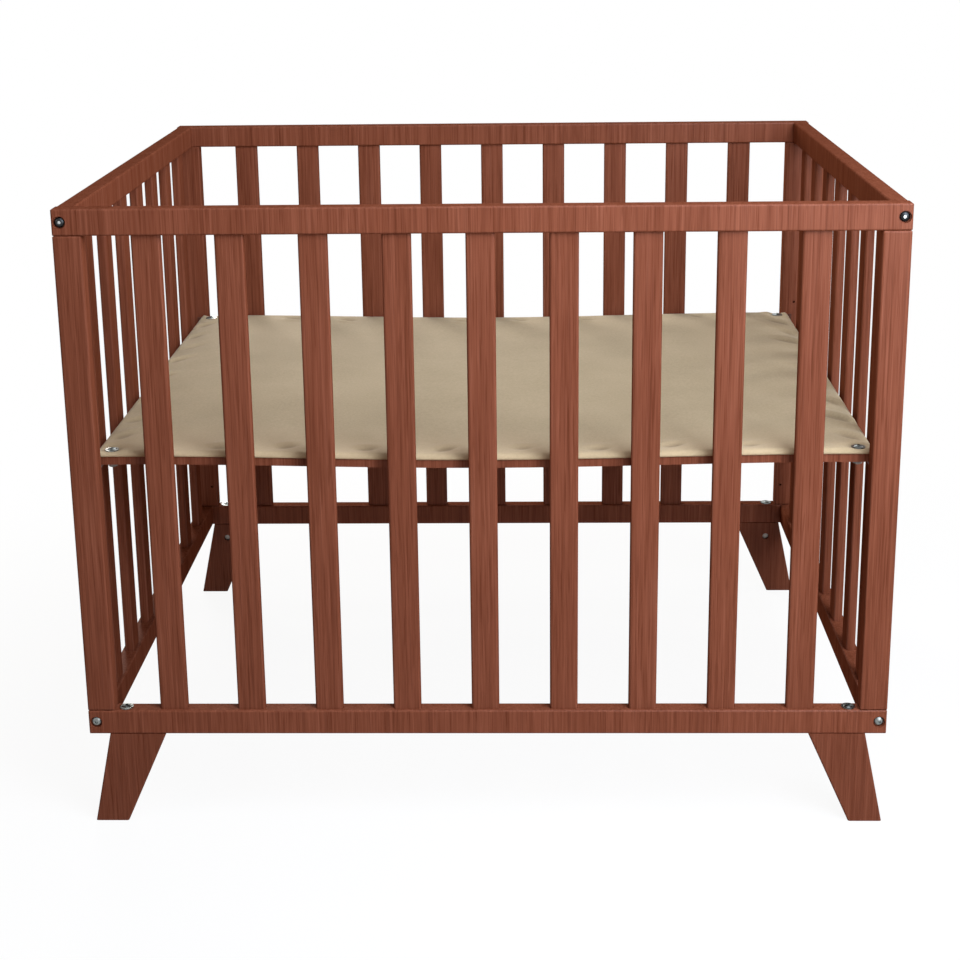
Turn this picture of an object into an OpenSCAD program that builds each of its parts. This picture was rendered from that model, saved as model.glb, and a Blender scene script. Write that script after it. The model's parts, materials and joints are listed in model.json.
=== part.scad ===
// Wooden playpen: two long panels with legs, two side panels and a base that is set at either of two heights.
// X runs along the front, Y from front to back, Z up. The origin is on the floor, in the middle of the pen.

/* [Overall] */
// Outer width, along the front
pen_w = 1000; // [820:1:1300]
// Outer depth, from front to back
pen_d = 784; // [640:1:1000]
// Height of the upper rails' top above the floor
pen_h = 790; // [640:1:960]

/* [Rails and stiles] */
// Height of every rail
rail_h = 32; // [26:0.5:42]
// Thickness of the rails, stiles and legs
rail_t = 22; // [18:0.5:28]
// Width of the stiles at the corners
stile_w = 34; // [28:0.5:44]
// Rounding of the edges of rails and stiles
edge_r = 2.5; // [1:0.25:4]
// Setback of the side rails from the ends of the long panels
side_inset = 2; // [0:0.5:5]
// Length of the stub tenons on the stiles
tenon_l = 7; // [4:0.5:8]
// Width of the stub tenons
tenon_w = 20; // [14:0.5:24]
// Thickness of the stub tenons
tenon_t = 8; // [6:0.5:10]

/* [Slats] */
// Number of slats in each long panel
front_slats = 9; // [5:1:9]
// Number of slats in each side panel
side_slats = 7; // [4:1:7]
// Width of the slats
slat_w = 34.5; // [24:0.5:42]
// Thickness of the slats
slat_t = 12; // [8:0.5:14]
// Rounding of the slats' edges
slat_r = 3; // [1:0.25:4]
// Open gap between a stile and the first slat of a long panel
front_end_gap = 56.75; // [40:0.25:70]
// Open gap between a long panel and the first slat of a side panel
side_end_gap = 58.75; // [40:0.25:70]
// Depth of the mortises that hold the slats' ends
mortise_l = 9; // [6:0.5:12]
// Free length left above a slat in its upper mortise
slat_play = 0.8; // [0.3:0.1:1.5]

/* [Legs] */
// Height of the legs, up to the lower rails
leg_h = 121; // [90:1:160]
// Width of a leg at its top
leg_top_w = 71; // [60:0.5:90]
// Width of a leg at the floor
leg_foot_w = 42; // [30:0.5:60]
// Distance of a leg's outer top corner from the end of the panel
leg_top_in = 26; // [10:0.5:40]
// Distance of a leg's outer foot corner from the end of the panel
leg_foot_in = 0.5; // [0:0.5:10]
// Rounding of the legs' slanted edges
leg_r = 2.5; // [1:0.25:4]

/* [Base] */
// Height of the base's top at its ends, in the upper position
base_top = 483; // [420:1:560]
// Height of the base's top at its ends, in the lower position
base_low = 196; // [186:1:260]
// Gap between the base and the long panels
base_gap_y = 6; // [5.5:0.25:12]
// Gap between the base and the side slats
base_gap_x = 6.5; // [3:0.25:12]
// How far the base sags in the middle
sag = 6; // [0:0.5:12]
// Thickness of the fabric cover
cover_t = 1.2; // [0.8:0.1:3]
// Thickness of the hardboard panel
panel_t = 3; // [2.5:0.5:6]
// Height of the battens under the panel
batten_h = 10.5; // [8:0.5:20]
// Width of the battens
batten_w = 25; // [22:0.5:40]
// Setback of the battens' ends from the base's ends
batten_end_in = 4.5; // [1:0.5:10]
// Distance of the base bolts from the base's ends
base_bolt_in_x = 17.5; // [15:0.5:26]
// Distance of the base bolts from the base's long edges
base_bolt_in_y = 14; // [11:0.5:16]

/* [Brackets] */
// Width of a bracket's flange, along the front
bracket_w = 34; // [30:0.5:40]
// Distance of a flange's far edge from the stile
bracket_l = 31; // [27:0.5:42]
// Setback of a flange from the battens' outer faces
bracket_in = 6; // [3:0.5:6]
// Thickness of the bracket steel
bracket_t = 2; // [1.5:0.1:2.5]
// Height of a bracket's upright, from the flange's underside
bracket_h = 14; // [13:0.5:16]
// Height of the bracket screws above the flange's underside
screw_up = 8.7; // [7.5:0.1:9.5]
// Distance of the bracket screws from the stiles' inner edges
screw_in = 8.5; // [7.5:0.5:11]

/* [Hardware] */
// Diameter of the bolts
bolt_d = 6; // [5:0.5:6]
// Diameter of the button heads
head_d = 12; // [10:0.5:12]
// Height of the button heads
head_h = 3.3; // [2.5:0.1:4]
// Width across flats of the hexagon sockets
socket_af = 4; // [3:0.5:5]
// Depth of the counterbores for the corner bolts
sink_l = 3.5; // [3:0.5:10]
// Distance of the corner bolts from the ends of the long panels
corner_in = 9.5; // [8:0.5:12]
// Length of a corner bolt inside the side rail
corner_reach = 31; // [25:0.5:60]
// Distance of the leg bolts from the ends of the long panels
leg_bolt_in = 47; // [42:0.5:60]
// Length of a leg bolt inside the leg
leg_reach = 30; // [24:0.5:50]
// Diameter of the barrel nuts
nut_d = 10; // [9:0.5:11]
// Length of the barrel nuts
nut_l = 14; // [11:0.5:15]
// Diameter of the flange under the leg bolts' and base bolts' heads
flange_d = 17; // [13:0.5:19]
// Length of the base bolts under their heads
base_bolt_l = 21; // [20:0.5:45]
// Diameter of the bracket screws
screw_d = 4; // [3:0.5:4.5]
// Length of a bracket screw inside the stile
screw_l = 15; // [10:0.5:16]
// Diameter of the bracket screws' heads
screw_head_d = 8; // [6:0.5:8.5]
// Height of the bracket screws' heads
screw_head_h = 2.4; // [1.8:0.1:2.6]

/* [Clearances] */
// Clearance round the corner bolts' heads in their counterbores
sink_gap = 1.5; // [1:0.25:2]
// Clearance round slats and tenons in their mortises
wood_fit = 0.15; // [0.05:0.05:0.4]
// Clearance round bolts and screws in drilled holes
bore_fit = 0.25; // [0.1:0.05:0.5]
// Clearance round barrel nuts, and round bolts in nuts
nut_fit = 0.1; // [0.05:0.05:0.2]
// Clearance of a bracket from the stile and from its screw's head
bracket_fit = 0.3; // [0.2:0.05:0.6]
// Clearance round the hardboard panel inside its cover
cover_fit = 0.3; // [0.1:0.1:0.6]

/* [Hidden] */
$fn = 48;
WOOD = "#A8644C";
STEEL = "#BFC2C6";
LACQUER = "#5A3527";
BOARD = "#8A6A4A";
FABRIC = "#B4A585";
// Cutters run this far past the face that they open
over = 1;
// Distance from a barrel nut's axis to the end of its bolt
nut_tail = nut_d / 2 + 1;
// Extra depth of a drilled hole past the end of its bolt
drill_tail = 2;
// Height of the rim of a domed head
rim_h = 1;
// Thickness of the flange under a leg bolt's or base bolt's head
flange_t = 1.2;
// Height of the base nuts
hex_nut_h = 3.2;
// Width across flats of the base nuts
hex_nut_af = 10;
// Depth of the hexagon sockets
socket_l = 2.2;
// Length of the unused pilot holes
pilot_l = 14;
// Height of the spare hole in the back right stile, its distance from the stile's outer edge and its depth
spare_z = 500;
spare_in = 14;
spare_l = 6;

half_w = pen_w / 2;
half_d = pen_d / 2;
long_y = half_d - rail_t / 2;
side_x = half_w - side_inset - rail_t / 2;
side_l = pen_d - 2 * rail_t;
top_z = pen_h - rail_h / 2;
low_z = leg_h + rail_h / 2;
clear_z0 = leg_h + rail_h;
clear_z1 = pen_h - rail_h;
stile_x = half_w - stile_w / 2;
slat_z0 = clear_z0 - mortise_l;
slat_l = clear_z1 - clear_z0 + 2 * mortise_l - slat_play;
front_pitch = (pen_w - 2 * stile_w - 2 * front_end_gap - slat_w) / (front_slats - 1);
side_pitch = (side_l - 2 * side_end_gap - slat_w) / (side_slats - 1);

bolt_hole_d = bolt_d + 2 * bore_fit;
nut_hole_d = nut_d + 2 * nut_fit;
sink_d = head_d + 2 * sink_gap;
nut_bore_d = bolt_d + 2 * nut_fit;
corner_x = half_w - corner_in;
corner_seat_y = half_d - sink_l;
corner_nut_y = side_l / 2 - corner_reach + nut_tail;
leg_bolt_x = half_w - leg_bolt_in;
leg_nut_z = leg_h - leg_reach + nut_tail;

base_x = side_x - slat_t / 2 - base_gap_x;
base_y = side_l / 2 - base_gap_y;
panel_x = base_x - cover_t - cover_fit;
panel_y = base_y - cover_t - cover_fit;
panel_z1 = base_top - cover_t;
panel_z0 = panel_z1 - panel_t;
batten_x = base_x - batten_end_in;
batten_y = panel_y - batten_w / 2;
batten_z0 = panel_z0 - batten_h;
base_bolt_x = base_x - base_bolt_in_x;
base_bolt_y = base_y - base_bolt_in_y;
// The sag runs between the brackets, and the ends lie flat on them
sag_half = base_bolt_x - bracket_w / 2;
sag_steps = 28;

bracket_z0 = batten_z0 - bracket_t;
screw_x = half_w - stile_w + screw_in;
screw_z = bracket_z0 + screw_up;
pilot_z = screw_z - (base_top - base_low);
// A flange reaches from inside its base bolt to outside its screw, and the upright keeps within the stile's width
bracket_x = (base_bolt_x + screw_x) / 2;
upright_x = half_w - stile_w + 1;
bracket_y1 = side_l / 2 - bracket_fit;
slot_w = screw_d + 2 * bracket_fit;

// Place of slat i along its panel, with the slats spread evenly about the middle
function front_slat_x(i) = (i - (front_slats + 1) / 2) * front_pitch;
function side_slat_y(i) = (i - (side_slats + 1) / 2) * side_pitch;

// Drop of the sagging base at x, level at both ends and in the middle
function drop(x) = abs(x) < sag_half ? sag * (1 + cos(180 * x / sag_half)) / 2 : 0;
function sag_stations(half) =
    concat([-half], [for (i = [0:sag_steps]) sag_half * (2 * i / sag_steps - 1)], [half]);

// Rectangle with round corners, centred
module round_rect(w, h, r) {
    square([w - 2 * r, h], center = true);
    square([w, h - 2 * r], center = true);
    for (x = [-1, 1], y = [-1, 1])
        translate([x * (w / 2 - r), y * (h / 2 - r)]) circle(r = r);
}

// Bar centred on the origin, with every edge rounded
module bar(x, y, z, r) {
    intersection() {
        linear_extrude(z, center = true) round_rect(x, y, r);
        rotate([90, 0, 0]) linear_extrude(y, center = true) round_rect(x, z, r);
        rotate([90, 0, 90]) linear_extrude(x, center = true) round_rect(y, z, r);
    }
}

// Copies in all four corners of the pen
module four_corners() {
    for (mx = [0, 1], my = [0, 1]) mirror([mx, 0, 0]) mirror([0, my, 0]) children();
}

// Pocket of the given depth in a rail's upper face (side = 1) or underside (side = -1)
module pocket(w, t, depth, side) {
    translate([0, 0, side * (rail_h / 2 - depth / 2 + over / 2)])
        linear_extrude(depth + over, center = true)
            round_rect(w + 2 * wood_fit, t + 2 * wood_fit, min(slat_r, t / 4) + wood_fit);
}

// Long rail, centred, with its outer face towards -Y and its mortises on the given side
module long_rail(side, with_legs) {
    color(WOOD) difference() {
        bar(pen_w, rail_t, rail_h, edge_r);
        for (i = [1:front_slats])
            translate([front_slat_x(i), 0, 0]) pocket(slat_w, slat_t, mortise_l, side);
        for (s = [-1, 1]) {
            translate([s * stile_x, 0, 0]) pocket(tenon_w, tenon_t, tenon_l + slat_play / 2, side);
            translate([s * corner_x, 0, 0]) rotate([90, 0, 0])
                cylinder(d = bolt_hole_d, h = rail_t + 2 * over, center = true);
            translate([s * corner_x, sink_l - rail_t / 2, 0]) rotate([90, 0, 0])
                cylinder(d = sink_d, h = sink_l + over);
            if (with_legs) translate([s * leg_bolt_x, 0, 0])
                cylinder(d = bolt_hole_d, h = rail_h + 2 * over, center = true);
        }
    }
}

// Front rails, and the back rails as their mirror image
module front_rail(z, side, with_legs) {
    translate([0, -long_y, z]) long_rail(side, with_legs);
}

// Stile of the front panel's left end, with a stub tenon at each end and pilot holes in its inner face
module stile() {
    mid = (clear_z0 + clear_z1) / 2;
    len = clear_z1 - clear_z0;
    color(WOOD) difference() {
        union() {
            translate([-stile_x, -long_y, mid]) bar(stile_w, rail_t, len, edge_r);
            translate([-stile_x, -long_y, mid]) linear_extrude(len + 2 * tenon_l, center = true)
                round_rect(tenon_w, tenon_t, min(slat_r, tenon_t / 4));
        }
        for (z = [screw_z, pilot_z])
            translate([-screw_x, -side_l / 2 + over, z]) rotate([90, 0, 0])
                cylinder(d = screw_d + 2 * nut_fit, h = (z == screw_z ? screw_l + drill_tail : pilot_l) + over);
    }
}

// Slat standing in the lower mortise, centred on its own axis
module slat() {
    color(WOOD) translate([0, 0, slat_z0]) linear_extrude(slat_l) round_rect(slat_w, slat_t, slat_r);
}

// Side rail along Y, centred, with its mortises on the given side and the nut holes drilled from below
module side_rail(side) {
    color(WOOD) difference() {
        rotate([90, 0, 0]) linear_extrude(side_l, center = true) round_rect(rail_t, rail_h, edge_r);
        for (i = [1:side_slats])
            translate([0, side_slat_y(i), 0]) rotate([0, 0, 90]) pocket(slat_w, slat_t, mortise_l, side);
        for (s = [-1, 1]) {
            translate([corner_x - side_x, s * (side_l / 2 + over), 0]) rotate([s * 90, 0, 0])
                cylinder(d = bolt_hole_d, h = corner_reach + drill_tail + over);
            translate([corner_x - side_x, s * corner_nut_y, -rail_h / 2 - over])
                cylinder(d = nut_hole_d, h = rail_h / 2 + nut_l / 2 + over);
        }
    }
}

// Half space on the leg's side of the line from a to b, as thick as the leg and rounded along that line
module leg_side(a, b) {
    reach = leg_h + leg_top_w;
    translate([a[0], 0, a[1]]) rotate([0, -atan2(b[1] - a[1], b[0] - a[0]), 0])
        rotate([90, 0, 90]) linear_extrude(2 * reach, center = true)
            translate([0, reach / 2]) round_rect(rail_t, reach, leg_r);
}

// Leg under the right end of the front panel: a tapered board that leans outwards to the floor
module leg() {
    pts = [
        [half_w - leg_foot_in - leg_foot_w, 0],
        [half_w - leg_foot_in, 0],
        [half_w - leg_top_in, leg_h],
        [half_w - leg_top_in - leg_top_w, leg_h]
    ];
    color(WOOD) translate([0, -long_y, 0]) difference() {
        intersection() {
            rotate([90, 0, 0]) linear_extrude(rail_t, center = true) polygon(pts);
            leg_side(pts[1], pts[2]);
            leg_side(pts[3], pts[0]);
        }
        translate([leg_bolt_x, 0, leg_h - leg_reach - drill_tail])
            cylinder(d = bolt_hole_d, h = leg_reach + drill_tail + over);
        translate([leg_bolt_x, -nut_l / 2, leg_nut_z]) rotate([-90, 0, 0])
            cylinder(d = nut_hole_d, h = nut_l / 2 + rail_t / 2 + over);
    }
}

// The back right stile has one more hole, left from setting up the base
module back_right_stile() {
    difference() {
        mirror([1, 0, 0]) mirror([0, 1, 0]) stile();
        color(WOOD) translate([half_w - spare_in, side_l / 2 - over, spare_z]) rotate([-90, 0, 0])
            cylinder(d = screw_d, h = spare_l + over);
    }
}

// Base layer between heights z0 and z1 at its ends, following the sag
module sagging(half, depth, z0, z1) {
    xs = sag_stations(half);
    n = len(xs);
    rotate([90, 0, 0]) linear_extrude(depth, center = true)
        polygon(concat(
            [for (i = [0:n - 1]) [xs[i], z0 - drop(xs[i])]],
            [for (i = [n - 1:-1:0]) [xs[i], z1 - drop(xs[i])]]));
}

module base_bolt_holes() {
    four_corners() translate([base_bolt_x, base_bolt_y, bracket_z0 - over])
        cylinder(d = bolt_hole_d, h = base_top - bracket_z0 + 2 * over);
}

module base_panel() {
    color(BOARD) difference() {
        sagging(panel_x, 2 * panel_y, panel_z0, panel_z1);
        base_bolt_holes();
    }
}

// Fabric laid over the panel, with a hem down to the panel's underside all round
module base_cover() {
    color(FABRIC) difference() {
        sagging(base_x, 2 * base_y, panel_z0, base_top);
        sagging(base_x - cover_t, 2 * (base_y - cover_t), panel_z0 - over, panel_z1);
        base_bolt_holes();
    }
}

module batten(y) {
    color(WOOD) difference() {
        translate([0, y, 0]) sagging(batten_x, batten_w, batten_z0, panel_z0);
        base_bolt_holes();
    }
}

// Angle bracket: a flange under the batten, and behind the stile an upright whose slot stands round the bracket screw
module bracket() {
    x0 = bracket_x - bracket_w / 2;
    x1 = bracket_x + bracket_w / 2;
    y0 = bracket_y1 - bracket_l;
    color(LACQUER) difference() {
        union() {
            translate([x0, y0, bracket_z0]) cube([bracket_w, panel_y - bracket_in - y0, bracket_t]);
            translate([upright_x, y0, bracket_z0]) cube([x1 - upright_x, bracket_l, bracket_t]);
            translate([upright_x, bracket_y1 - bracket_t, bracket_z0])
                cube([x1 - upright_x, bracket_t, bracket_h]);
        }
        translate([base_bolt_x, base_bolt_y, bracket_z0 - over])
            cylinder(d = bolt_hole_d, h = bracket_t + 2 * over);
        translate([screw_x, bracket_y1 + over, screw_z]) rotate([90, 0, 0])
            cylinder(d = slot_w, h = bracket_t + 2 * over);
        translate([screw_x - slot_w / 2, bracket_y1 - bracket_t - over, screw_z])
            cube([slot_w, bracket_t + 2 * over, bracket_h]);
    }
}

// Domed head that stands on z = 0
module dome(d, h, rim) {
    dome_r = (d * d / 4 + (h - rim) * (h - rim)) / (2 * (h - rim));
    rotate_extrude() intersection() {
        translate([0, h - dome_r]) circle(r = dome_r, $fn = 96);
        square([d / 2, h]);
    }
}

// Socket bolt pointing down from z = 0, with its head above
module bolt(d, l, cap_d, cap_h) {
    difference() {
        union() {
            dome(cap_d, cap_h, rim_h);
            translate([0, 0, -l]) cylinder(d = d, h = l + rim_h / 2);
        }
        translate([0, 0, cap_h - socket_l]) cylinder(d = socket_af / cos(30), h = socket_l + over, $fn = 6);
    }
}

// Barrel nut along Z, centred, with its threaded bore along Y
module barrel_nut() {
    difference() {
        cylinder(d = nut_d, h = nut_l, center = true);
        rotate([90, 0, 0]) cylinder(d = nut_bore_d, h = nut_d + 2 * over, center = true);
    }
}

module corner_bolts() {
    color(STEEL) four_corners() for (z = [low_z, top_z])
        translate([corner_x, corner_seat_y, z]) rotate([-90, 0, 0])
            bolt(bolt_d, corner_seat_y - side_l / 2 + corner_reach, head_d, head_h);
}

// Bolt with a wide thin flange under its head
module flanged_bolt(l) {
    bolt(bolt_d, l, head_d, head_h);
    difference() {
        cylinder(d = flange_d, h = flange_t);
        translate([0, 0, -over]) cylinder(d = bolt_d, h = flange_t + 2 * over);
    }
}

module leg_bolts() {
    color(STEEL) four_corners() translate([leg_bolt_x, long_y, clear_z0]) flanged_bolt(rail_h + leg_reach);
}

module barrel_nuts() {
    color(STEEL) four_corners() {
        for (z = [low_z, top_z]) translate([corner_x, corner_nut_y, z]) barrel_nut();
        translate([leg_bolt_x, long_y, leg_nut_z]) rotate([90, 0, 0]) barrel_nut();
    }
}

module base_bolts() {
    color(STEEL) four_corners() translate([base_bolt_x, base_bolt_y, base_top]) flanged_bolt(base_bolt_l);
}

module base_nuts() {
    color(STEEL) four_corners() translate([base_bolt_x, base_bolt_y, bracket_z0 - hex_nut_h]) difference() {
        cylinder(d = hex_nut_af / cos(30), h = hex_nut_h, $fn = 6);
        translate([0, 0, -over]) cylinder(d = nut_bore_d, h = hex_nut_h + 2 * over);
    }
}

// Bracket screws in the upper pilot holes, with their heads just clear of the brackets
module bracket_screws() {
    shank = screw_l + 2 * bracket_fit + bracket_t;
    color(STEEL) four_corners()
        translate([screw_x, side_l / 2 - 2 * bracket_fit - bracket_t, screw_z]) rotate([90, 0, 0])
            bolt(screw_d, shank, screw_head_d, screw_head_h);
}

front_rail(top_z, -1, false);  // front_top_rail
front_rail(low_z, 1, true);  // front_bottom_rail
stile();  // front_left_stile
mirror([1, 0, 0]) stile();  // front_right_stile
for (i = [1:front_slats])
    translate([front_slat_x(i), -long_y, 0]) slat();

mirror([0, 1, 0]) front_rail(top_z, -1, false);  // back_top_rail
mirror([0, 1, 0]) front_rail(low_z, 1, true);  // back_bottom_rail
mirror([0, 1, 0]) stile();  // back_left_stile
back_right_stile();
for (i = [1:front_slats])
    translate([front_slat_x(i), long_y, 0]) slat();

mirror([1, 0, 0]) translate([side_x, 0, top_z]) side_rail(-1);  // left_top_rail
mirror([1, 0, 0]) translate([side_x, 0, low_z]) side_rail(1);  // left_bottom_rail
translate([side_x, 0, top_z]) side_rail(-1);  // right_top_rail
translate([side_x, 0, low_z]) side_rail(1);  // right_bottom_rail
for (i = [1:side_slats]) {
    translate([-side_x, side_slat_y(i), 0]) rotate([0, 0, 90]) slat();
    translate([side_x, side_slat_y(i), 0]) rotate([0, 0, 90]) slat();
}

mirror([1, 0, 0]) leg();  // leg_front_left
leg();  // leg_front_right
mirror([1, 0, 0]) mirror([0, 1, 0]) leg();  // leg_back_left
mirror([0, 1, 0]) leg();  // leg_back_right

base_panel();
base_cover();
batten(-batten_y);  // base_front_batten
batten(0);  // base_middle_batten
batten(batten_y);  // base_back_batten
four_corners() bracket();  // base_brackets
base_bolts();
base_nuts();
bracket_screws();
corner_bolts();
leg_bolts();
barrel_nuts();
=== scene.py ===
import json
import math

import bpy
import numpy as np
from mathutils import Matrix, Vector


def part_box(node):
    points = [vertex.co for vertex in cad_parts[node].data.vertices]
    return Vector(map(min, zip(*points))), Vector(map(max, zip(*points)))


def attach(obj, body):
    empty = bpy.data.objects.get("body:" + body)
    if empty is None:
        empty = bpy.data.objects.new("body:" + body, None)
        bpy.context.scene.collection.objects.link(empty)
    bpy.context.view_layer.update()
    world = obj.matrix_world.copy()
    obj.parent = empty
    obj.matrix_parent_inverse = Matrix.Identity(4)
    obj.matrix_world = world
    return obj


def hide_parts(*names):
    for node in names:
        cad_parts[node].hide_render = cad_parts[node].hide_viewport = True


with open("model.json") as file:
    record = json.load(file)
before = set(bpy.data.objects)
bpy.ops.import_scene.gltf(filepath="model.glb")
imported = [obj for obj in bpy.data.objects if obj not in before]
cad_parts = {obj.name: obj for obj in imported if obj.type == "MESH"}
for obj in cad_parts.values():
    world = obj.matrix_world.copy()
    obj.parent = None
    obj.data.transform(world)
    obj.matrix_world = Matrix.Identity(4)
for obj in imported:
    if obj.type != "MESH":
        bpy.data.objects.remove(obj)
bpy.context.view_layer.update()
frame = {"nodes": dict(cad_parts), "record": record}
nodes = frame["nodes"]
scene = bpy.context.scene

# ---------------------------------------------------------------------------
# The camera stands in front of the pen and a little above its top rails.
# Its lens is long, so that the back panel shows through the front one.
# ---------------------------------------------------------------------------


def add(name, data):
    """A new object in the scene, at the origin."""
    made = bpy.data.objects.new(name, data)
    scene.collection.objects.link(made)
    return made


camera_data = bpy.data.cameras.new("camera")
camera_data.lens = 64.91
camera_data.shift_x = -0.0067
camera_data.shift_y = -0.12
camera = add("camera", camera_data)
camera.location = (0.0529, -2.3708, 1.1281)
camera.rotation_euler = [math.radians(a) for a in (75.071, 0.616, 1.195)]
scene.camera = camera

# ---------------------------------------------------------------------------
# Stained wood. Rails, stiles, slats, legs and battens are pine boards under a
# reddish-brown stain that gathers in the grain. The grain stands upright on
# every board, even across the rails, in streaks a millimetre or two wide.
# ---------------------------------------------------------------------------


class Tint:
    """A shader socket. Arithmetic on it adds Math nodes to its material."""

    def __init__(self, tree, socket=None):
        self.tree = tree
        self.socket = socket

    def node(self, kind, settings=None, wires=None, out=0):
        made = self.tree.nodes.new("ShaderNode" + kind)
        for name, value in (settings or {}).items():
            if name == "stops":
                ramp = made.color_ramp.elements
                while len(ramp) < len(value):
                    ramp.new(0.5)
                for element, (place, colour) in zip(ramp, value):
                    element.position = place
                    element.color = (*colour, 1.0)
            else:
                setattr(made, name, value)
        for name, value in (wires or {}).items():
            if isinstance(value, Tint):
                self.tree.links.new(value.socket, made.inputs[name])
            else:
                made.inputs[name].default_value = value
        return Tint(self.tree, made.outputs[out])

    def calc(self, operation, other, clamp=False):
        settings = {"operation": operation, "use_clamp": clamp}
        return self.node("Math", settings, {0: self, 1: other})

    def of(self, operation):
        """A function of this value alone, such as SINE."""
        return self.node("Math", {"operation": operation}, {0: self})

    def __add__(self, other):
        return self.calc("ADD", other)

    __radd__ = __add__

    def __sub__(self, other):
        return self.calc("SUBTRACT", other)

    def __rsub__(self, other):
        return self.node("Math", {"operation": "SUBTRACT"}, {0: other, 1: self})

    def __mul__(self, other):
        return self.calc("MULTIPLY", other)

    __rmul__ = __mul__

    def __pow__(self, other):
        return self.calc("POWER", other)

    def between(self, low, high):
        """0 below low, 1 above high, and smooth between them."""
        wires = {"Value": self, "From Min": low, "From Max": high}
        return self.node("MapRange", {"interpolation_type": "SMOOTHSTEP"}, wires)

    def axis(self, letter):
        return self.node("SeparateXYZ", None, {"Vector": self}, letter)

    def noise(self, scale, detail, roughness=0.5, distortion=0.0):
        return self.node("TexNoise", None, {
            "Vector": self, "Scale": scale, "Detail": detail,
            "Roughness": roughness, "Distortion": distortion})

    def ramp(self, *stops):
        """Colours at places from 0 to 1 along this value."""
        return self.node("ValToRGB", {"stops": stops}, {"Fac": self})

    def pick(self, low, high):
        """Colour low where this is 0, going over to high where it is 1."""
        return self.node("Mix", {"data_type": "RGBA"}, {0: self, 6: low, 7: high}, 2)

    def bump(self, strength, distance):
        return self.node("Bump", None, {
            "Strength": strength, "Distance": distance, "Height": self})


def new_material(name):
    """A material, its shader, and the place on the object as a Tint."""
    material = bpy.data.materials.new(name)
    material.use_nodes = True
    tree = material.node_tree
    here = Tint(tree).node("TexCoord", out="Object")
    return material, tree.nodes["Principled BSDF"], here


def plug(shader, socket, value):
    value.tree.links.new(value.socket, shader.inputs[socket])


def dress(names, material):
    """Give this material to these nodes of the frame."""
    for name in names:
        mesh = nodes[name].data
        mesh.materials.clear()
        mesh.materials.append(material)


def stained_wood(name, place, tone):
    """Wood whose grain is taken from its own part of the noise, at place."""
    material, shader, here = new_material(name)

    def streaks(across, along, detail, shift):
        """Upright streaks, 1 / across metres wide and 1 / along metres long."""
        spot = here.node("Mapping", None, {
            "Vector": here,
            "Location": (place + shift, place * 0.7 - shift, place * 0.3),
            "Scale": (across, across, along)})
        return spot.noise(1.0, detail, 0.6, 0.25)

    fine = streaks(520.0, 9.0, 2.0, 0.0)
    middle = streaks(260.0, 4.5, 3.0, 11.0)
    broad = streaks(42.0, 2.0, 2.0, 23.0)
    bands = (streaks(210.0, 2.6, 1.0, 31.0) * 6.0).calc("PINGPONG", 1.0)
    veins = 1 - bands.between(0.0, 0.35)
    pores = streaks(700.0, 14.0, 1.0, 37.0).between(0.55, 0.68)
    dark = pores.calc("MAXIMUM", veins * 0.75) * 0.36

    grain = fine * 0.42 + middle * 0.36 + broad * 0.22
    stain = grain.ramp(
        (0.36, (0.134 * tone, 0.0350 * tone, 0.0155 * tone)),
        (0.46, (0.183 * tone, 0.0520 * tone, 0.0254 * tone)),
        (0.55, (0.217 * tone, 0.0652 * tone, 0.0337 * tone)),
        (0.66, (0.263 * tone, 0.0875 * tone, 0.0485 * tone)))
    plug(shader, "Base Color", dark.pick(stain, (0.085, 0.022, 0.011, 1.0)))

    # The varnish shines only where the wood faces the eye.
    slant = here.node("LayerWeight", None, {"Blend": 0.5}, "Facing")
    plug(shader, "Coat Weight", (1 - slant.between(0.3, 0.7)) * (0.24 - pores * 0.14))
    shader.inputs["Coat Roughness"].default_value = 0.36
    shader.inputs["Specular IOR Level"].default_value = 0.0
    plug(shader, "Roughness", 0.62 - fine * 0.12 + pores * 0.1)
    relief = fine * 0.6 + middle * 0.4 - dark * 0.8
    plug(shader, "Normal", relief.bump(0.3, 0.0005))
    return material


parts = frame["record"]["subparts"]
wooden = [n["node"] for n in parts if n["material_slot"] == "stained_wood"]
upright = [n for n in wooden if "slat" in n or "stile" in n]
level = [n for n in wooden if "rail" in n]
legs = [n for n in wooden if n.startswith("leg_")]
battens = [n for n in wooden if "batten" in n]
# The legs' tone of 0.88 is painted shade: it darkens their wood for the shadow under the base.
for boards, name, place, tone in (
        (upright, "stained_wood_upright", 3.1, 1.0),
        (level, "stained_wood_level", 17.4, 1.02),
        (legs, "stained_wood_legs", 29.8, 0.88),
        (battens, "stained_wood_battens", 41.3, 1.0)):
    dress(boards, stained_wood(name, place, tone))

# ---------------------------------------------------------------------------
# Steel fittings. The bracket screws have a bright zinc plating, and the corner
# bolts, leg bolts and base bolts a duller, darker one. Barrel nuts and base
# nuts get a dark steel, darkened as painted shade for the shadow they sit in,
# and the brackets are lacquered brown like the wood.
# ---------------------------------------------------------------------------


def mottled(name, scale, dark, light, rough, drift, detail=3.0):
    """A smooth surface whose tone and gloss drift together in small clouds."""
    material, shader, here = new_material(name)
    clouds = here.noise(scale, detail)
    colour = clouds.ramp((0.35, dark), (0.65, light))
    gloss = rough + clouds * drift
    plug(shader, "Base Color", colour)
    plug(shader, "Roughness", gloss)
    return material, shader, here, clouds, colour, gloss


def steel(*look):
    made = mottled(*look)
    made[1].inputs["Metallic"].default_value = 1.0
    return made


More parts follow.
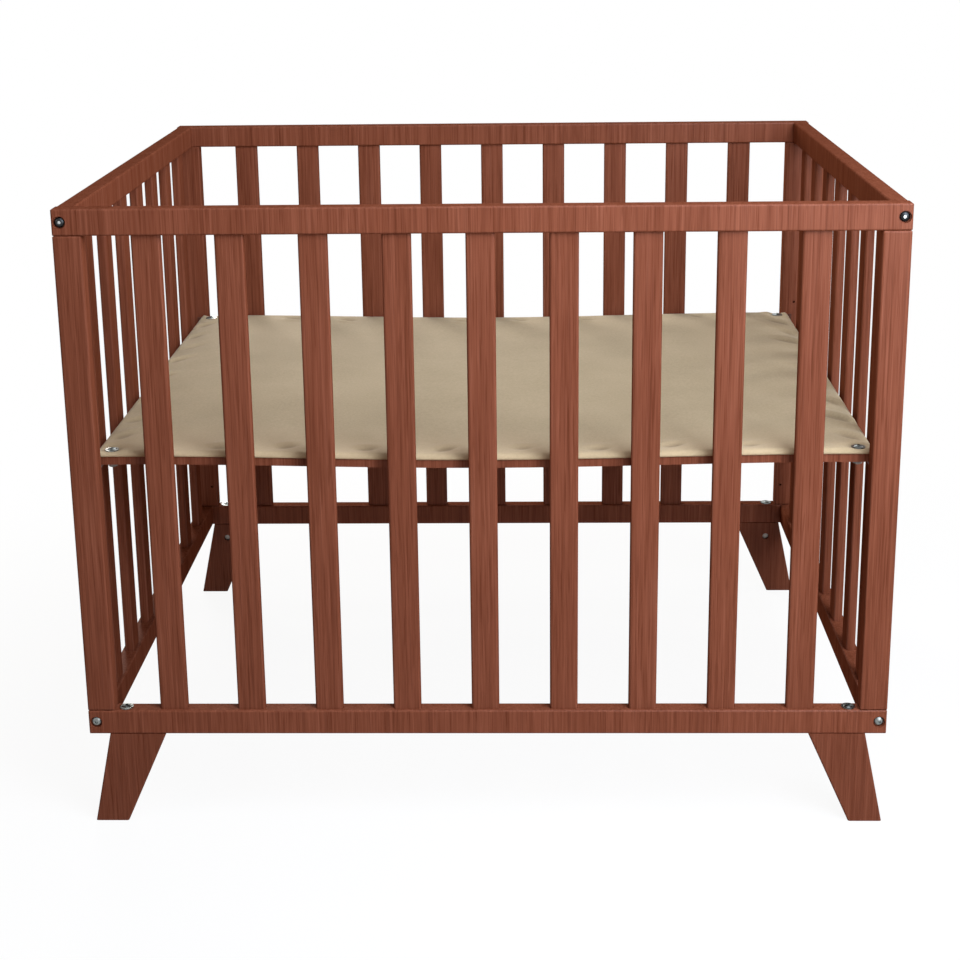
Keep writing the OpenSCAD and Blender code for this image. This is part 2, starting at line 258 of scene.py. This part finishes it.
zinc, zinc_shader, zinc_place, _, _, zinc_gloss = steel(
    "zinc_steel", 260.0, (0.28, 0.30, 0.29), (0.50, 0.52, 0.50), 0.2, 0.22)
scratches = zinc_place.noise(1900.0, 2.0)
plug(zinc_shader, "Roughness", zinc_gloss + scratches * 0.08)
dress(["bracket_screws"], zinc)
dull = steel("dull_zinc_steel", 300.0, (0.11, 0.12, 0.12), (0.23, 0.25, 0.24), 0.2, 0.2)[0]
dress(["base_bolts", "leg_bolts"], dull)
# Painted shade: the nuts' steel is darkened for the shadow they sit in.
dark_steel_painted_shade = steel("oiled_steel", 700.0, (0.13, 0.11, 0.10), (0.24, 0.21, 0.19), 0.35, 0.25)[0]
dress(["barrel_nuts", "base_nuts"], dark_steel_painted_shade)

# The upper corner bolts carry painted light: a painted dark reflection over
# their heads and a painted highlight in their sockets, and the lower ones are
# plain. The painted ring follows the distance from a bolt's axis.
painted_glint_steel, painted_glint_shader, painted_glint_place, _, plain, _ = steel(
    "ringed_zinc_steel", 300.0, (0.14, 0.15, 0.15), (0.27, 0.29, 0.28), 0.2, 0.2)
head_r = 0.006
corner_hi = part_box("corner_bolts")[1]
ring_z = painted_glint_place.axis("Z")
off_x = painted_glint_place.axis("X").of("ABSOLUTE") - (corner_hi.x - head_r)
off_z = ring_z - (corner_hi.z - head_r)
off_axis = (off_x * off_x + off_z * off_z) ** 0.5
painted_dark_ring = off_axis.between(0.0016, 0.0024)
upper = ring_z.between(0.3, 0.5)
# Painted highlight: a bright spot in the socket of each upper bolt.
socket = ((1 - painted_dark_ring) * upper).pick(plain, (0.58, 0.60, 0.60, 1.0))
# Painted reflection: a dark ring over the head of each upper bolt.
plug(painted_glint_shader, "Base Color", (painted_dark_ring * upper).pick(socket, (0.030, 0.032, 0.034, 1.0)))
dress(["corner_bolts"], painted_glint_steel)

lacquer, lacquer_shader, _, orange_peel, _, _ = mottled(
    "brown_lacquer", 900.0, (0.085, 0.030, 0.017), (0.115, 0.041, 0.024), 0.42, 0.15, 2.0)
lacquer_shader.inputs["Specular IOR Level"].default_value = 0.2
plug(lacquer_shader, "Normal", orange_peel.bump(0.2, 0.0002))
dress(["base_brackets"], lacquer)

# ---------------------------------------------------------------------------
# The base panel is 3 mm hardboard. Its underside shows between the battens:
# brown pressed fibre with flecks, and matt.
# ---------------------------------------------------------------------------
hardboard, hardboard_shader, board_place = new_material("hardboard")
fibres = board_place.noise(420.0, 5.0, 0.7, 1.2)
patches = board_place.noise(9.0, 3.0)
plug(hardboard_shader, "Base Color", (fibres * 0.7 + patches * 0.3).ramp(
    (0.34, (0.13, 0.070, 0.035)), (0.5, (0.25, 0.150, 0.082)), (0.66, (0.38, 0.25, 0.15))))
plug(hardboard_shader, "Roughness", 0.72 + fibres * 0.15)
plug(hardboard_shader, "Normal", fibres.bump(0.35, 0.0004))
dress(["base_panel"], hardboard)

# ---------------------------------------------------------------------------
# The base cover is beige woven cloth, pulled over the panel and fastened
# along its edges. It dips where it is fastened, puckers between, and pulls
# into slanting creases at the ends. The base bolts press it down.
# ---------------------------------------------------------------------------
cloth, cloth_shader, cloth_place = new_material("cover_fabric")
cloth_x, cloth_y, base_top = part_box("base_cover")[1]
thread = 2 * math.pi / 0.0011
warp = (cloth_place.axis("X") * thread).of("SINE")
weft = (cloth_place.axis("Y") * thread).of("SINE")
weave = warp * weft
slub = cloth_place.noise(320.0, 4.0, 0.65)
wash = cloth_place.noise(7.0, 3.0)
beige = (slub * 0.5 + wash * 0.5 + weave * 0.04).ramp(
    (0.32, (0.397, 0.308, 0.181)), (0.5, (0.469, 0.364, 0.218)), (0.68, (0.541, 0.424, 0.260)))
# Painted light: a warm bounce from the wood, painted onto the cloth near its front edge and
# made patchy by the wash.
painted_bounce_reach = (-1 * cloth_place.axis("Y")).between(cloth_y - 0.13, cloth_y - 0.01)
warm = (painted_bounce_reach * (0.10 + wash * 0.45)).pick(beige, (0.580, 0.415, 0.250, 1.0))
# Painted shade: the cloth is painted darker in its dents.
dent_painted_shade = cloth_place.node("Attribute", {"attribute_name": "hollow"}, None, "Fac")
plug(cloth_shader, "Base Color", (dent_painted_shade * 0.5).pick(warm, (0.245, 0.175, 0.100, 1.0)))
plug(cloth_shader, "Roughness", 0.86 + slub * 0.1)
plug(cloth_shader, "Normal", (weave * 0.5 + slub * 0.8).bump(0.15, 0.0003))
cloth_shader.inputs["Sheen Weight"].default_value = 0.12
cloth_shader.inputs["Specular IOR Level"].default_value = 0.12


def cloth_piece(name, points, faces, thickness):
    """A smooth piece of the cloth, with its thickness behind its faces."""
    mesh = bpy.data.meshes.new(name)
    mesh.from_pydata(points, [], faces)
    for polygon in mesh.polygons:
        polygon.use_smooth = True
    mesh.materials.append(cloth)
    made = add(name, mesh)
    solidify = made.modifiers.new("cloth", "SOLIDIFY")
    solidify.thickness = thickness
    solidify.offset = -1
    return made


bolt_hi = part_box("base_bolts")[1]
bolt_head_r = 0.0085
bolt_x, bolt_y = bolt_hi.x - bolt_head_r, bolt_hi.y - bolt_head_r
sag = 0.006
sag_half = bolt_x - 0.017
rng = np.random.default_rng(7)


def drop(x):
    """How far the panel sags, from nothing at its bolts to the full sag."""
    bow = sag * (1 + np.cos(np.pi * x / sag_half)) / 2
    return np.where(np.abs(x) < sag_half, bow, 0.0)


def dent(x, y, cx, cy, sx, sy, turn=0.0):
    """A round-bottomed dent of depth 1, sx by sy, turned by an angle."""
    c, s = math.cos(turn), math.sin(turn)
    u, v = (x - cx) * c + (y - cy) * s, -(x - cx) * s + (y - cy) * c
    return np.exp(-(u / sx) ** 2 - (v / sy) ** 2)


def cloth_relief(x, y):
    """Height of the cloth above the flat cover, before the sag."""
    slack, most = 0.0023, 0.0048
    h = np.full_like(x, slack)
    h += 0.00015 * np.sin(9.1 * x + 2.3 * y + 0.4) * np.sin(7.7 * y - 1.9 * x)

    # Dimples along the front and back edges, each with swellings round it.
    tacks, tack_pitch, bolt_room = 10, 0.0935, 0.045
    for side in (-1, 1):
        for k in range(tacks):
            cx = (k + 0.5 - tacks / 2) * tack_pitch + rng.uniform(-0.009, 0.009)
            cy = side * (cloth_y - rng.uniform(0.021, 0.029))
            if abs(abs(cx) - bolt_x) < bolt_room:
                continue
            slant = -side * rng.uniform(0.1, 0.6)
            deep = rng.uniform(0.6, 1.15)
            swell_y, pleat_y = cy - side * 0.0125, cy - side * 0.027
            h -= 0.0034 * deep * dent(x, y, cx, cy, 0.0130, 0.0062, slant)
            h += 0.0016 * deep * dent(x, y, cx - 0.004, swell_y, 0.0150, 0.0075, slant)
            h += 0.0005 * deep * dent(x, y, cx + 0.024, cy + side * 0.003, 0.0150, 0.0090)
            h -= 0.0004 * deep * dent(
                x, y, cx + 0.014, pleat_y, 0.0160, 0.0060, slant - side * 0.5)

    # Slanting creases at the ends, longer and deeper on the right.
    creases, crease_pitch = 9, 0.077
    for side in (-1, 1):
        for k in range(creases):
            cy = (k + 0.5 - creases / 2) * crease_pitch + rng.uniform(-0.015, 0.015)
            turn = side * -rng.uniform(0.65, 1.15)
            reach = rng.uniform(0.022, 0.040) if side > 0 else rng.uniform(0.013, 0.024)
            cx = side * (cloth_x - rng.uniform(0.012, 0.022))
            deep = rng.uniform(0.6, 1.3) if side > 0 else rng.uniform(0.4, 1.1)
            ridge_y = cy + rng.uniform(0.015, 0.021)
            h -= 0.0032 * deep * dent(x, y, cx, cy, reach, 0.0062, turn)
            h += 0.0020 * deep * dent(x, y, cx - side * 0.003, ridge_y, reach, 0.0080, turn)
            h += 0.0004 * deep * dent(
                x, y, cx - side * 0.020, cy - 0.014, reach * 1.3, 0.0100, turn * 0.8)

    # A puckered ring round each base bolt, and the cloth pressed flat inside.
    for sx in (-1, 1):
        for sy in (-1, 1):
            far = np.hypot(x - sx * bolt_x, y - sy * bolt_y)
            around = np.arctan2(y - sy * bolt_y, x - sx * bolt_x)
            ring = np.exp(-((far - 0.022) / 0.007) ** 2)
            h += 0.0008 * ring * (1 + 0.8 * np.sin(5 * around + sx + sy))
            press = np.clip((far - bolt_head_r) / 0.009, 0, 1)
            h *= press * press * (3 - 2 * press)
    return np.clip(h, 0.0, most)


step, edge_roll, edge_rise = 0.004, 0.0022, 0.004
xs = np.linspace(-cloth_x, cloth_x, int(round(2 * cloth_x / step)) + 1)
ys = np.linspace(-cloth_y, cloth_y, int(round(2 * cloth_y / step)) + 1)
grid_x, grid_y = np.meshgrid(xs, ys)
height = cloth_relief(grid_x, grid_y)
edge = np.minimum(cloth_x - np.abs(grid_x), cloth_y - np.abs(grid_y))
rolled = np.sqrt(np.maximum(edge_roll ** 2 - (edge_roll - edge) ** 2, 0.0))
round_off = np.where(edge < edge_roll, edge_roll - rolled, 0.0)
grid_z = base_top - drop(grid_x) + height * np.clip(edge / edge_rise, 0.35, 1) - round_off

# The hem goes down from the rim of the grid, past the panel's edge.
rows, columns = grid_x.shape
points = np.stack([grid_x, grid_y, grid_z], -1).reshape(-1, 3)
rim = list(range(columns))
rim += [r * columns + columns - 1 for r in range(1, rows)]
rim += [(rows - 1) * columns + c for c in range(columns - 2, -1, -1)]
rim += [r * columns for r in range(rows - 2, 0, -1)]
hem_z = base_top - 0.0042
hem_bottom = hem_z - drop(points[rim][:, 0])
levels = [points]
for share in (0.5, 1.0):
    lower = points[rim].copy()
    lower[:, 2] = lower[:, 2] * (1 - share) + hem_bottom * share
    levels.append(lower)
all_points = np.concatenate(levels)
quads = [
    (r * columns + c, r * columns + c + 1, (r + 1) * columns + c + 1, (r + 1) * columns + c)
    for r in range(rows - 1) for c in range(columns - 1)]
first, count = rows * columns, len(rim)
for i in range(count):
    j = (i + 1) % count
    quads.append((rim[j], rim[i], first + i, first + j))
    quads.append((first + j, first + i, first + count + i, first + count + j))
cover = cloth_piece("fabric_cover", all_points.tolist(), quads, 0.0010)

# Painted shade: how deep each point lies in a dent, so that the cloth is painted darker there.
shaded_below = 0.0019
dent_shade_depth = np.clip((shaded_below - height) / shaded_below, 0, 1)
dent_shade_depth = dent_shade_depth * np.clip((edge - 0.008) / 0.006, 0, 1)
hollow = cover.data.attributes.new("hollow", "FLOAT", "POINT")
hollow.data.foreach_set("value", np.concatenate([
    dent_shade_depth.reshape(-1), np.zeros(len(all_points) - dent_shade_depth.size)]).astype(np.float32))
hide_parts("base_cover")

# ---------------------------------------------------------------------------
# Fold of the cover. At each end the cloth is turned under the panel between
# the battens, in a strip about 24 mm wide with an uneven cut edge, and held
# there by a row of wire staples.
# ---------------------------------------------------------------------------
batten_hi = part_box("base_front_batten")[1]
middle_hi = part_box("base_middle_batten")[1]
beside = 0.0012
fold_t = 0.0008
fold_top = batten_hi.z - 0.0001
fold_out, fold_in = cloth_x - 0.0004, cloth_x - 0.0240
fold_from, fold_to = middle_hi.y + beside, abs(batten_hi.y) - beside
stations, wide = 81, 8
staple_inset, staple_margin = 0.0125, 0.018
staple_z = fold_top - fold_t - 0.0003
fold_rng = np.random.default_rng(19)


def wander(reach):
    """A smooth random line, with one value for each station of a strip."""
    steps = fold_rng.uniform(-reach, reach, stations + 4)
    return np.convolve(steps, np.ones(5) / 5, "valid")


fold_points, fold_quads, staple_points, staple_edges = [], [], [], []
for end in (-1, 1):
    for side in (-1, 1):
        first = len(fold_points)
        lengths = np.linspace(fold_from, fold_to, stations)
        ragged, ripple = wander(0.0016), wander(0.0003)
        for y_here, cut, wave in zip(lengths, ragged, ripple):
            for part in np.linspace(0.0, 1.0, wide):
                fold_points.append((
                    end * (fold_out + (fold_in + cut - fold_out) * part),
                    side * y_here,
                    fold_top - 0.0003 * (1 - math.cos(4 * math.pi * part)) / 2
                    - abs(wave) * part))
        for r in range(stations - 1):
            for c in range(wide - 1):
                corner = first + r * wide + c
                quad = (corner, corner + 1, corner + wide + 1, corner + wide)
                fold_quads.append(quad if end * side > 0 else quad[::-1])
        for y_here in (fold_from + staple_margin, fold_to - staple_margin):
            staple_points.append((end * (cloth_x - staple_inset), side * y_here, staple_z))
        staple_edges.append((len(staple_points) - 2, len(staple_points) - 1))
fold = cloth_piece("cover_fold", fold_points, fold_quads, fold_t)
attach(fold, "base")

staples_tree = bpy.data.node_groups.new("staple_row", "GeometryNodeTree")
interface = staples_tree.interface
for name, kind in (
        ("Rows", "Geometry"), ("Spacing", "Float"), ("Wire Radius", "Float"),
        ("Seed", "Int"), ("Metal", "Material")):
    interface.new_socket(name=name, in_out="INPUT", socket_type="NodeSocket" + kind)
interface.new_socket(name="Staples", in_out="OUTPUT", socket_type="NodeSocketGeometry")
given = staples_tree.nodes.new("NodeGroupInput")
result = staples_tree.nodes.new("NodeGroupOutput")
rows_curve = staples_tree.nodes.new("GeometryNodeMeshToCurve")
places = staples_tree.nodes.new("GeometryNodeResampleCurve")
places.mode = "LENGTH"
crown = staples_tree.nodes.new("GeometryNodeCurvePrimitiveBezierSegment")
for name, value in (
        ("Start", (-0.005, 0, 0.0006)), ("Start Handle", (-0.005, 0, -0.0010)),
        ("End Handle", (0.005, 0, -0.0010)), ("End", (0.005, 0, 0.0006))):
    crown.inputs[name].default_value = value
wire_round = staples_tree.nodes.new("GeometryNodeCurvePrimitiveCircle")
wire_round.inputs["Resolution"].default_value = 8
wire = staples_tree.nodes.new("GeometryNodeCurveToMesh")
wire.inputs["Fill Caps"].default_value = True
askew = staples_tree.nodes.new("FunctionNodeRandomValue")
askew.data_type = "FLOAT_VECTOR"
askew.inputs["Min"].default_value = (0.0, 0.0, math.radians(78))
askew.inputs["Max"].default_value = (0.0, 0.0, math.radians(102))
copies = staples_tree.nodes.new("GeometryNodeInstanceOnPoints")
solid = staples_tree.nodes.new("GeometryNodeRealizeInstances")
painted = staples_tree.nodes.new("GeometryNodeSetMaterial")
for giver, out, taker, into in (
        (given, "Rows", rows_curve, "Mesh"), (rows_curve, "Curve", places, "Curve"),
        (given, "Spacing", places, "Length"), (given, "Wire Radius", wire_round, "Radius"),
        (crown, "Curve", wire, "Curve"), (wire_round, "Curve", wire, "Profile Curve"),
        (given, "Seed", askew, "Seed"), (places, "Curve", copies, "Points"),
        (wire, "Mesh", copies, "Instance"), (askew, "Value", copies, "Rotation"),
        (copies, "Instances", solid, "Geometry"), (solid, "Geometry", painted, "Geometry"),
        (given, "Metal", painted, "Material"), (painted, "Geometry", result, "Staples")):
    staples_tree.links.new(giver.outputs[out], taker.inputs[into])
rows_mesh = bpy.data.meshes.new("staple_rows")
rows_mesh.from_pydata(staple_points, staple_edges, [])
staples = add("hem_staples", rows_mesh)
row_maker = staples.modifiers.new("rows", "NODES")
row_maker.node_group = staples_tree
wanted = {"Spacing": 0.0385, "Wire Radius": 0.00045, "Seed": 5, "Metal": zinc}
for item in interface.items_tree:
    if item.in_out == "INPUT" and item.name in wanted:
        row_maker[item.identifier] = wanted[item.name]
made_staples = bpy.data.meshes.new_from_object(
    staples.evaluated_get(bpy.context.evaluated_depsgraph_get()))
staples.modifiers.clear()
staples.data = made_staples
bpy.data.meshes.remove(rows_mesh)
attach(staples, "base")
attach(cover, "base")

# ---------------------------------------------------------------------------
# Floor and light. The pen stands on a white floor with no edge in view, in a
# pale room. Large cool lamps light it from the front right, a strong warm one
# from low behind on the left, and weaker ones fill in from the other sides.
# ---------------------------------------------------------------------------
floor_half = 14.0
floor_mesh = bpy.data.meshes.new("floor")
floor_mesh.from_pydata(
    [(-floor_half, -floor_half, 0), (floor_half, -floor_half, 0),
     (floor_half, floor_half, 0), (-floor_half, floor_half, 0)],
    [], [(0, 1, 2, 3)])
floor = add("floor", floor_mesh)


def in_sight(start):
    """1 for a ray from the eye, a gloss or a glass, 0 for one that lights."""
    camera_ray, glossy_ray, glass_ray = [
        start.node("LightPath", out=f"Is {kind} Ray")
        for kind in ("Camera", "Glossy", "Transmission")]
    return camera_ray.calc("ADD", glossy_ray, True).calc("ADD", glass_ray, True)


def show(tree, kind, surface):
    """Make this shader what a material or a world gives out."""
    output = tree.nodes.new("ShaderNodeOutput" + kind)
    tree.links.new(surface.socket, output.inputs["Surface"])


white = (1.0, 1.0, 1.0, 1.0)
paper = bpy.data.materials.new("white_floor")
paper.use_nodes = True
paper_tree = paper.node_tree
paper_tree.nodes.clear()
paper_place = Tint(paper_tree).node("TexCoord", out="Object")
paper_seen = in_sight(paper_place)
far = paper_place.node("VectorMath", {"operation": "LENGTH"}, {0: paper_place}, "Value")
blank = far.between(0.6, 1.5) * 0.08 + 0.92
tint = paper_seen.pick((0.42, 0.31, 0.25, 1.0), (0.95, 0.95, 0.95, 1.0))
matt = tint.node("BsdfDiffuse", None, {"Color": tint})
glow = tint.node("Emission", None, {"Color": white, "Strength": 1.0})
show(paper_tree, "Material", tint.node(
    "MixShader", None, {0: paper_seen * blank, 1: matt, 2: glow}))
floor_mesh.materials.append(paper)

room = bpy.data.worlds.new("room")
room.use_nodes = True
room_tree = room.node_tree
room_tree.nodes.clear()
room_seen = in_sight(Tint(room_tree))
dim = room_seen.node("Background", None, {"Color": (1.0, 0.74, 0.58, 1.0), "Strength": 0.11})
bright = room_seen.node("Background", None, {"Color": white, "Strength": 1.0})
show(room_tree, "World", room_seen.node("MixShader", None, {0: room_seen, 1: dim, 2: bright}))
scene.world = room

lamp_aim = Vector((0.0, 0.0, 0.45))
for name, place, size, power, colour in (
        ("key_lamp", (1.02, -1.2, 1.4), 1.2, 15.5, (0.95, 1.09, 1.30)),
        ("upper_lamp", (0.5, -1.2, 2.0), 1.6, 24.0, (0.97, 1.06, 1.20)),
        ("low_lamp", (0.9, -1.6, 0.9), 1.2, 12.0, (0.97, 1.04, 1.12)),
        ("left_lamp", (-1.9, -1.1, 1.4), 0.7, 4.0, (1.0, 0.9, 0.8)),
        ("rear_lamp", (0.0, 1.5, 1.9), 1.0, 8.0, (1.0, 1.0, 1.0)),
        ("low_rear_lamp", (-0.9, 2.1, 1.0), 0.9, 31.0, (1.0, 0.95, 0.88)),
        ("right_lamp", (2.2, 0.6, 1.3), 0.8, 10.0, (1.0, 1.0, 1.0))):
    light = bpy.data.lights.new(name, "AREA")
    light.shape = "DISK"
    light.size = size
    light.energy = power
    light.color = colour
    lamp = add(name, light)
    lamp.location = place
    lamp.rotation_euler = (Vector(place) - lamp_aim).to_track_quat("Z", "Y").to_euler()
    lamp.visible_camera = False

scene.view_settings.view_transform = "Standard"
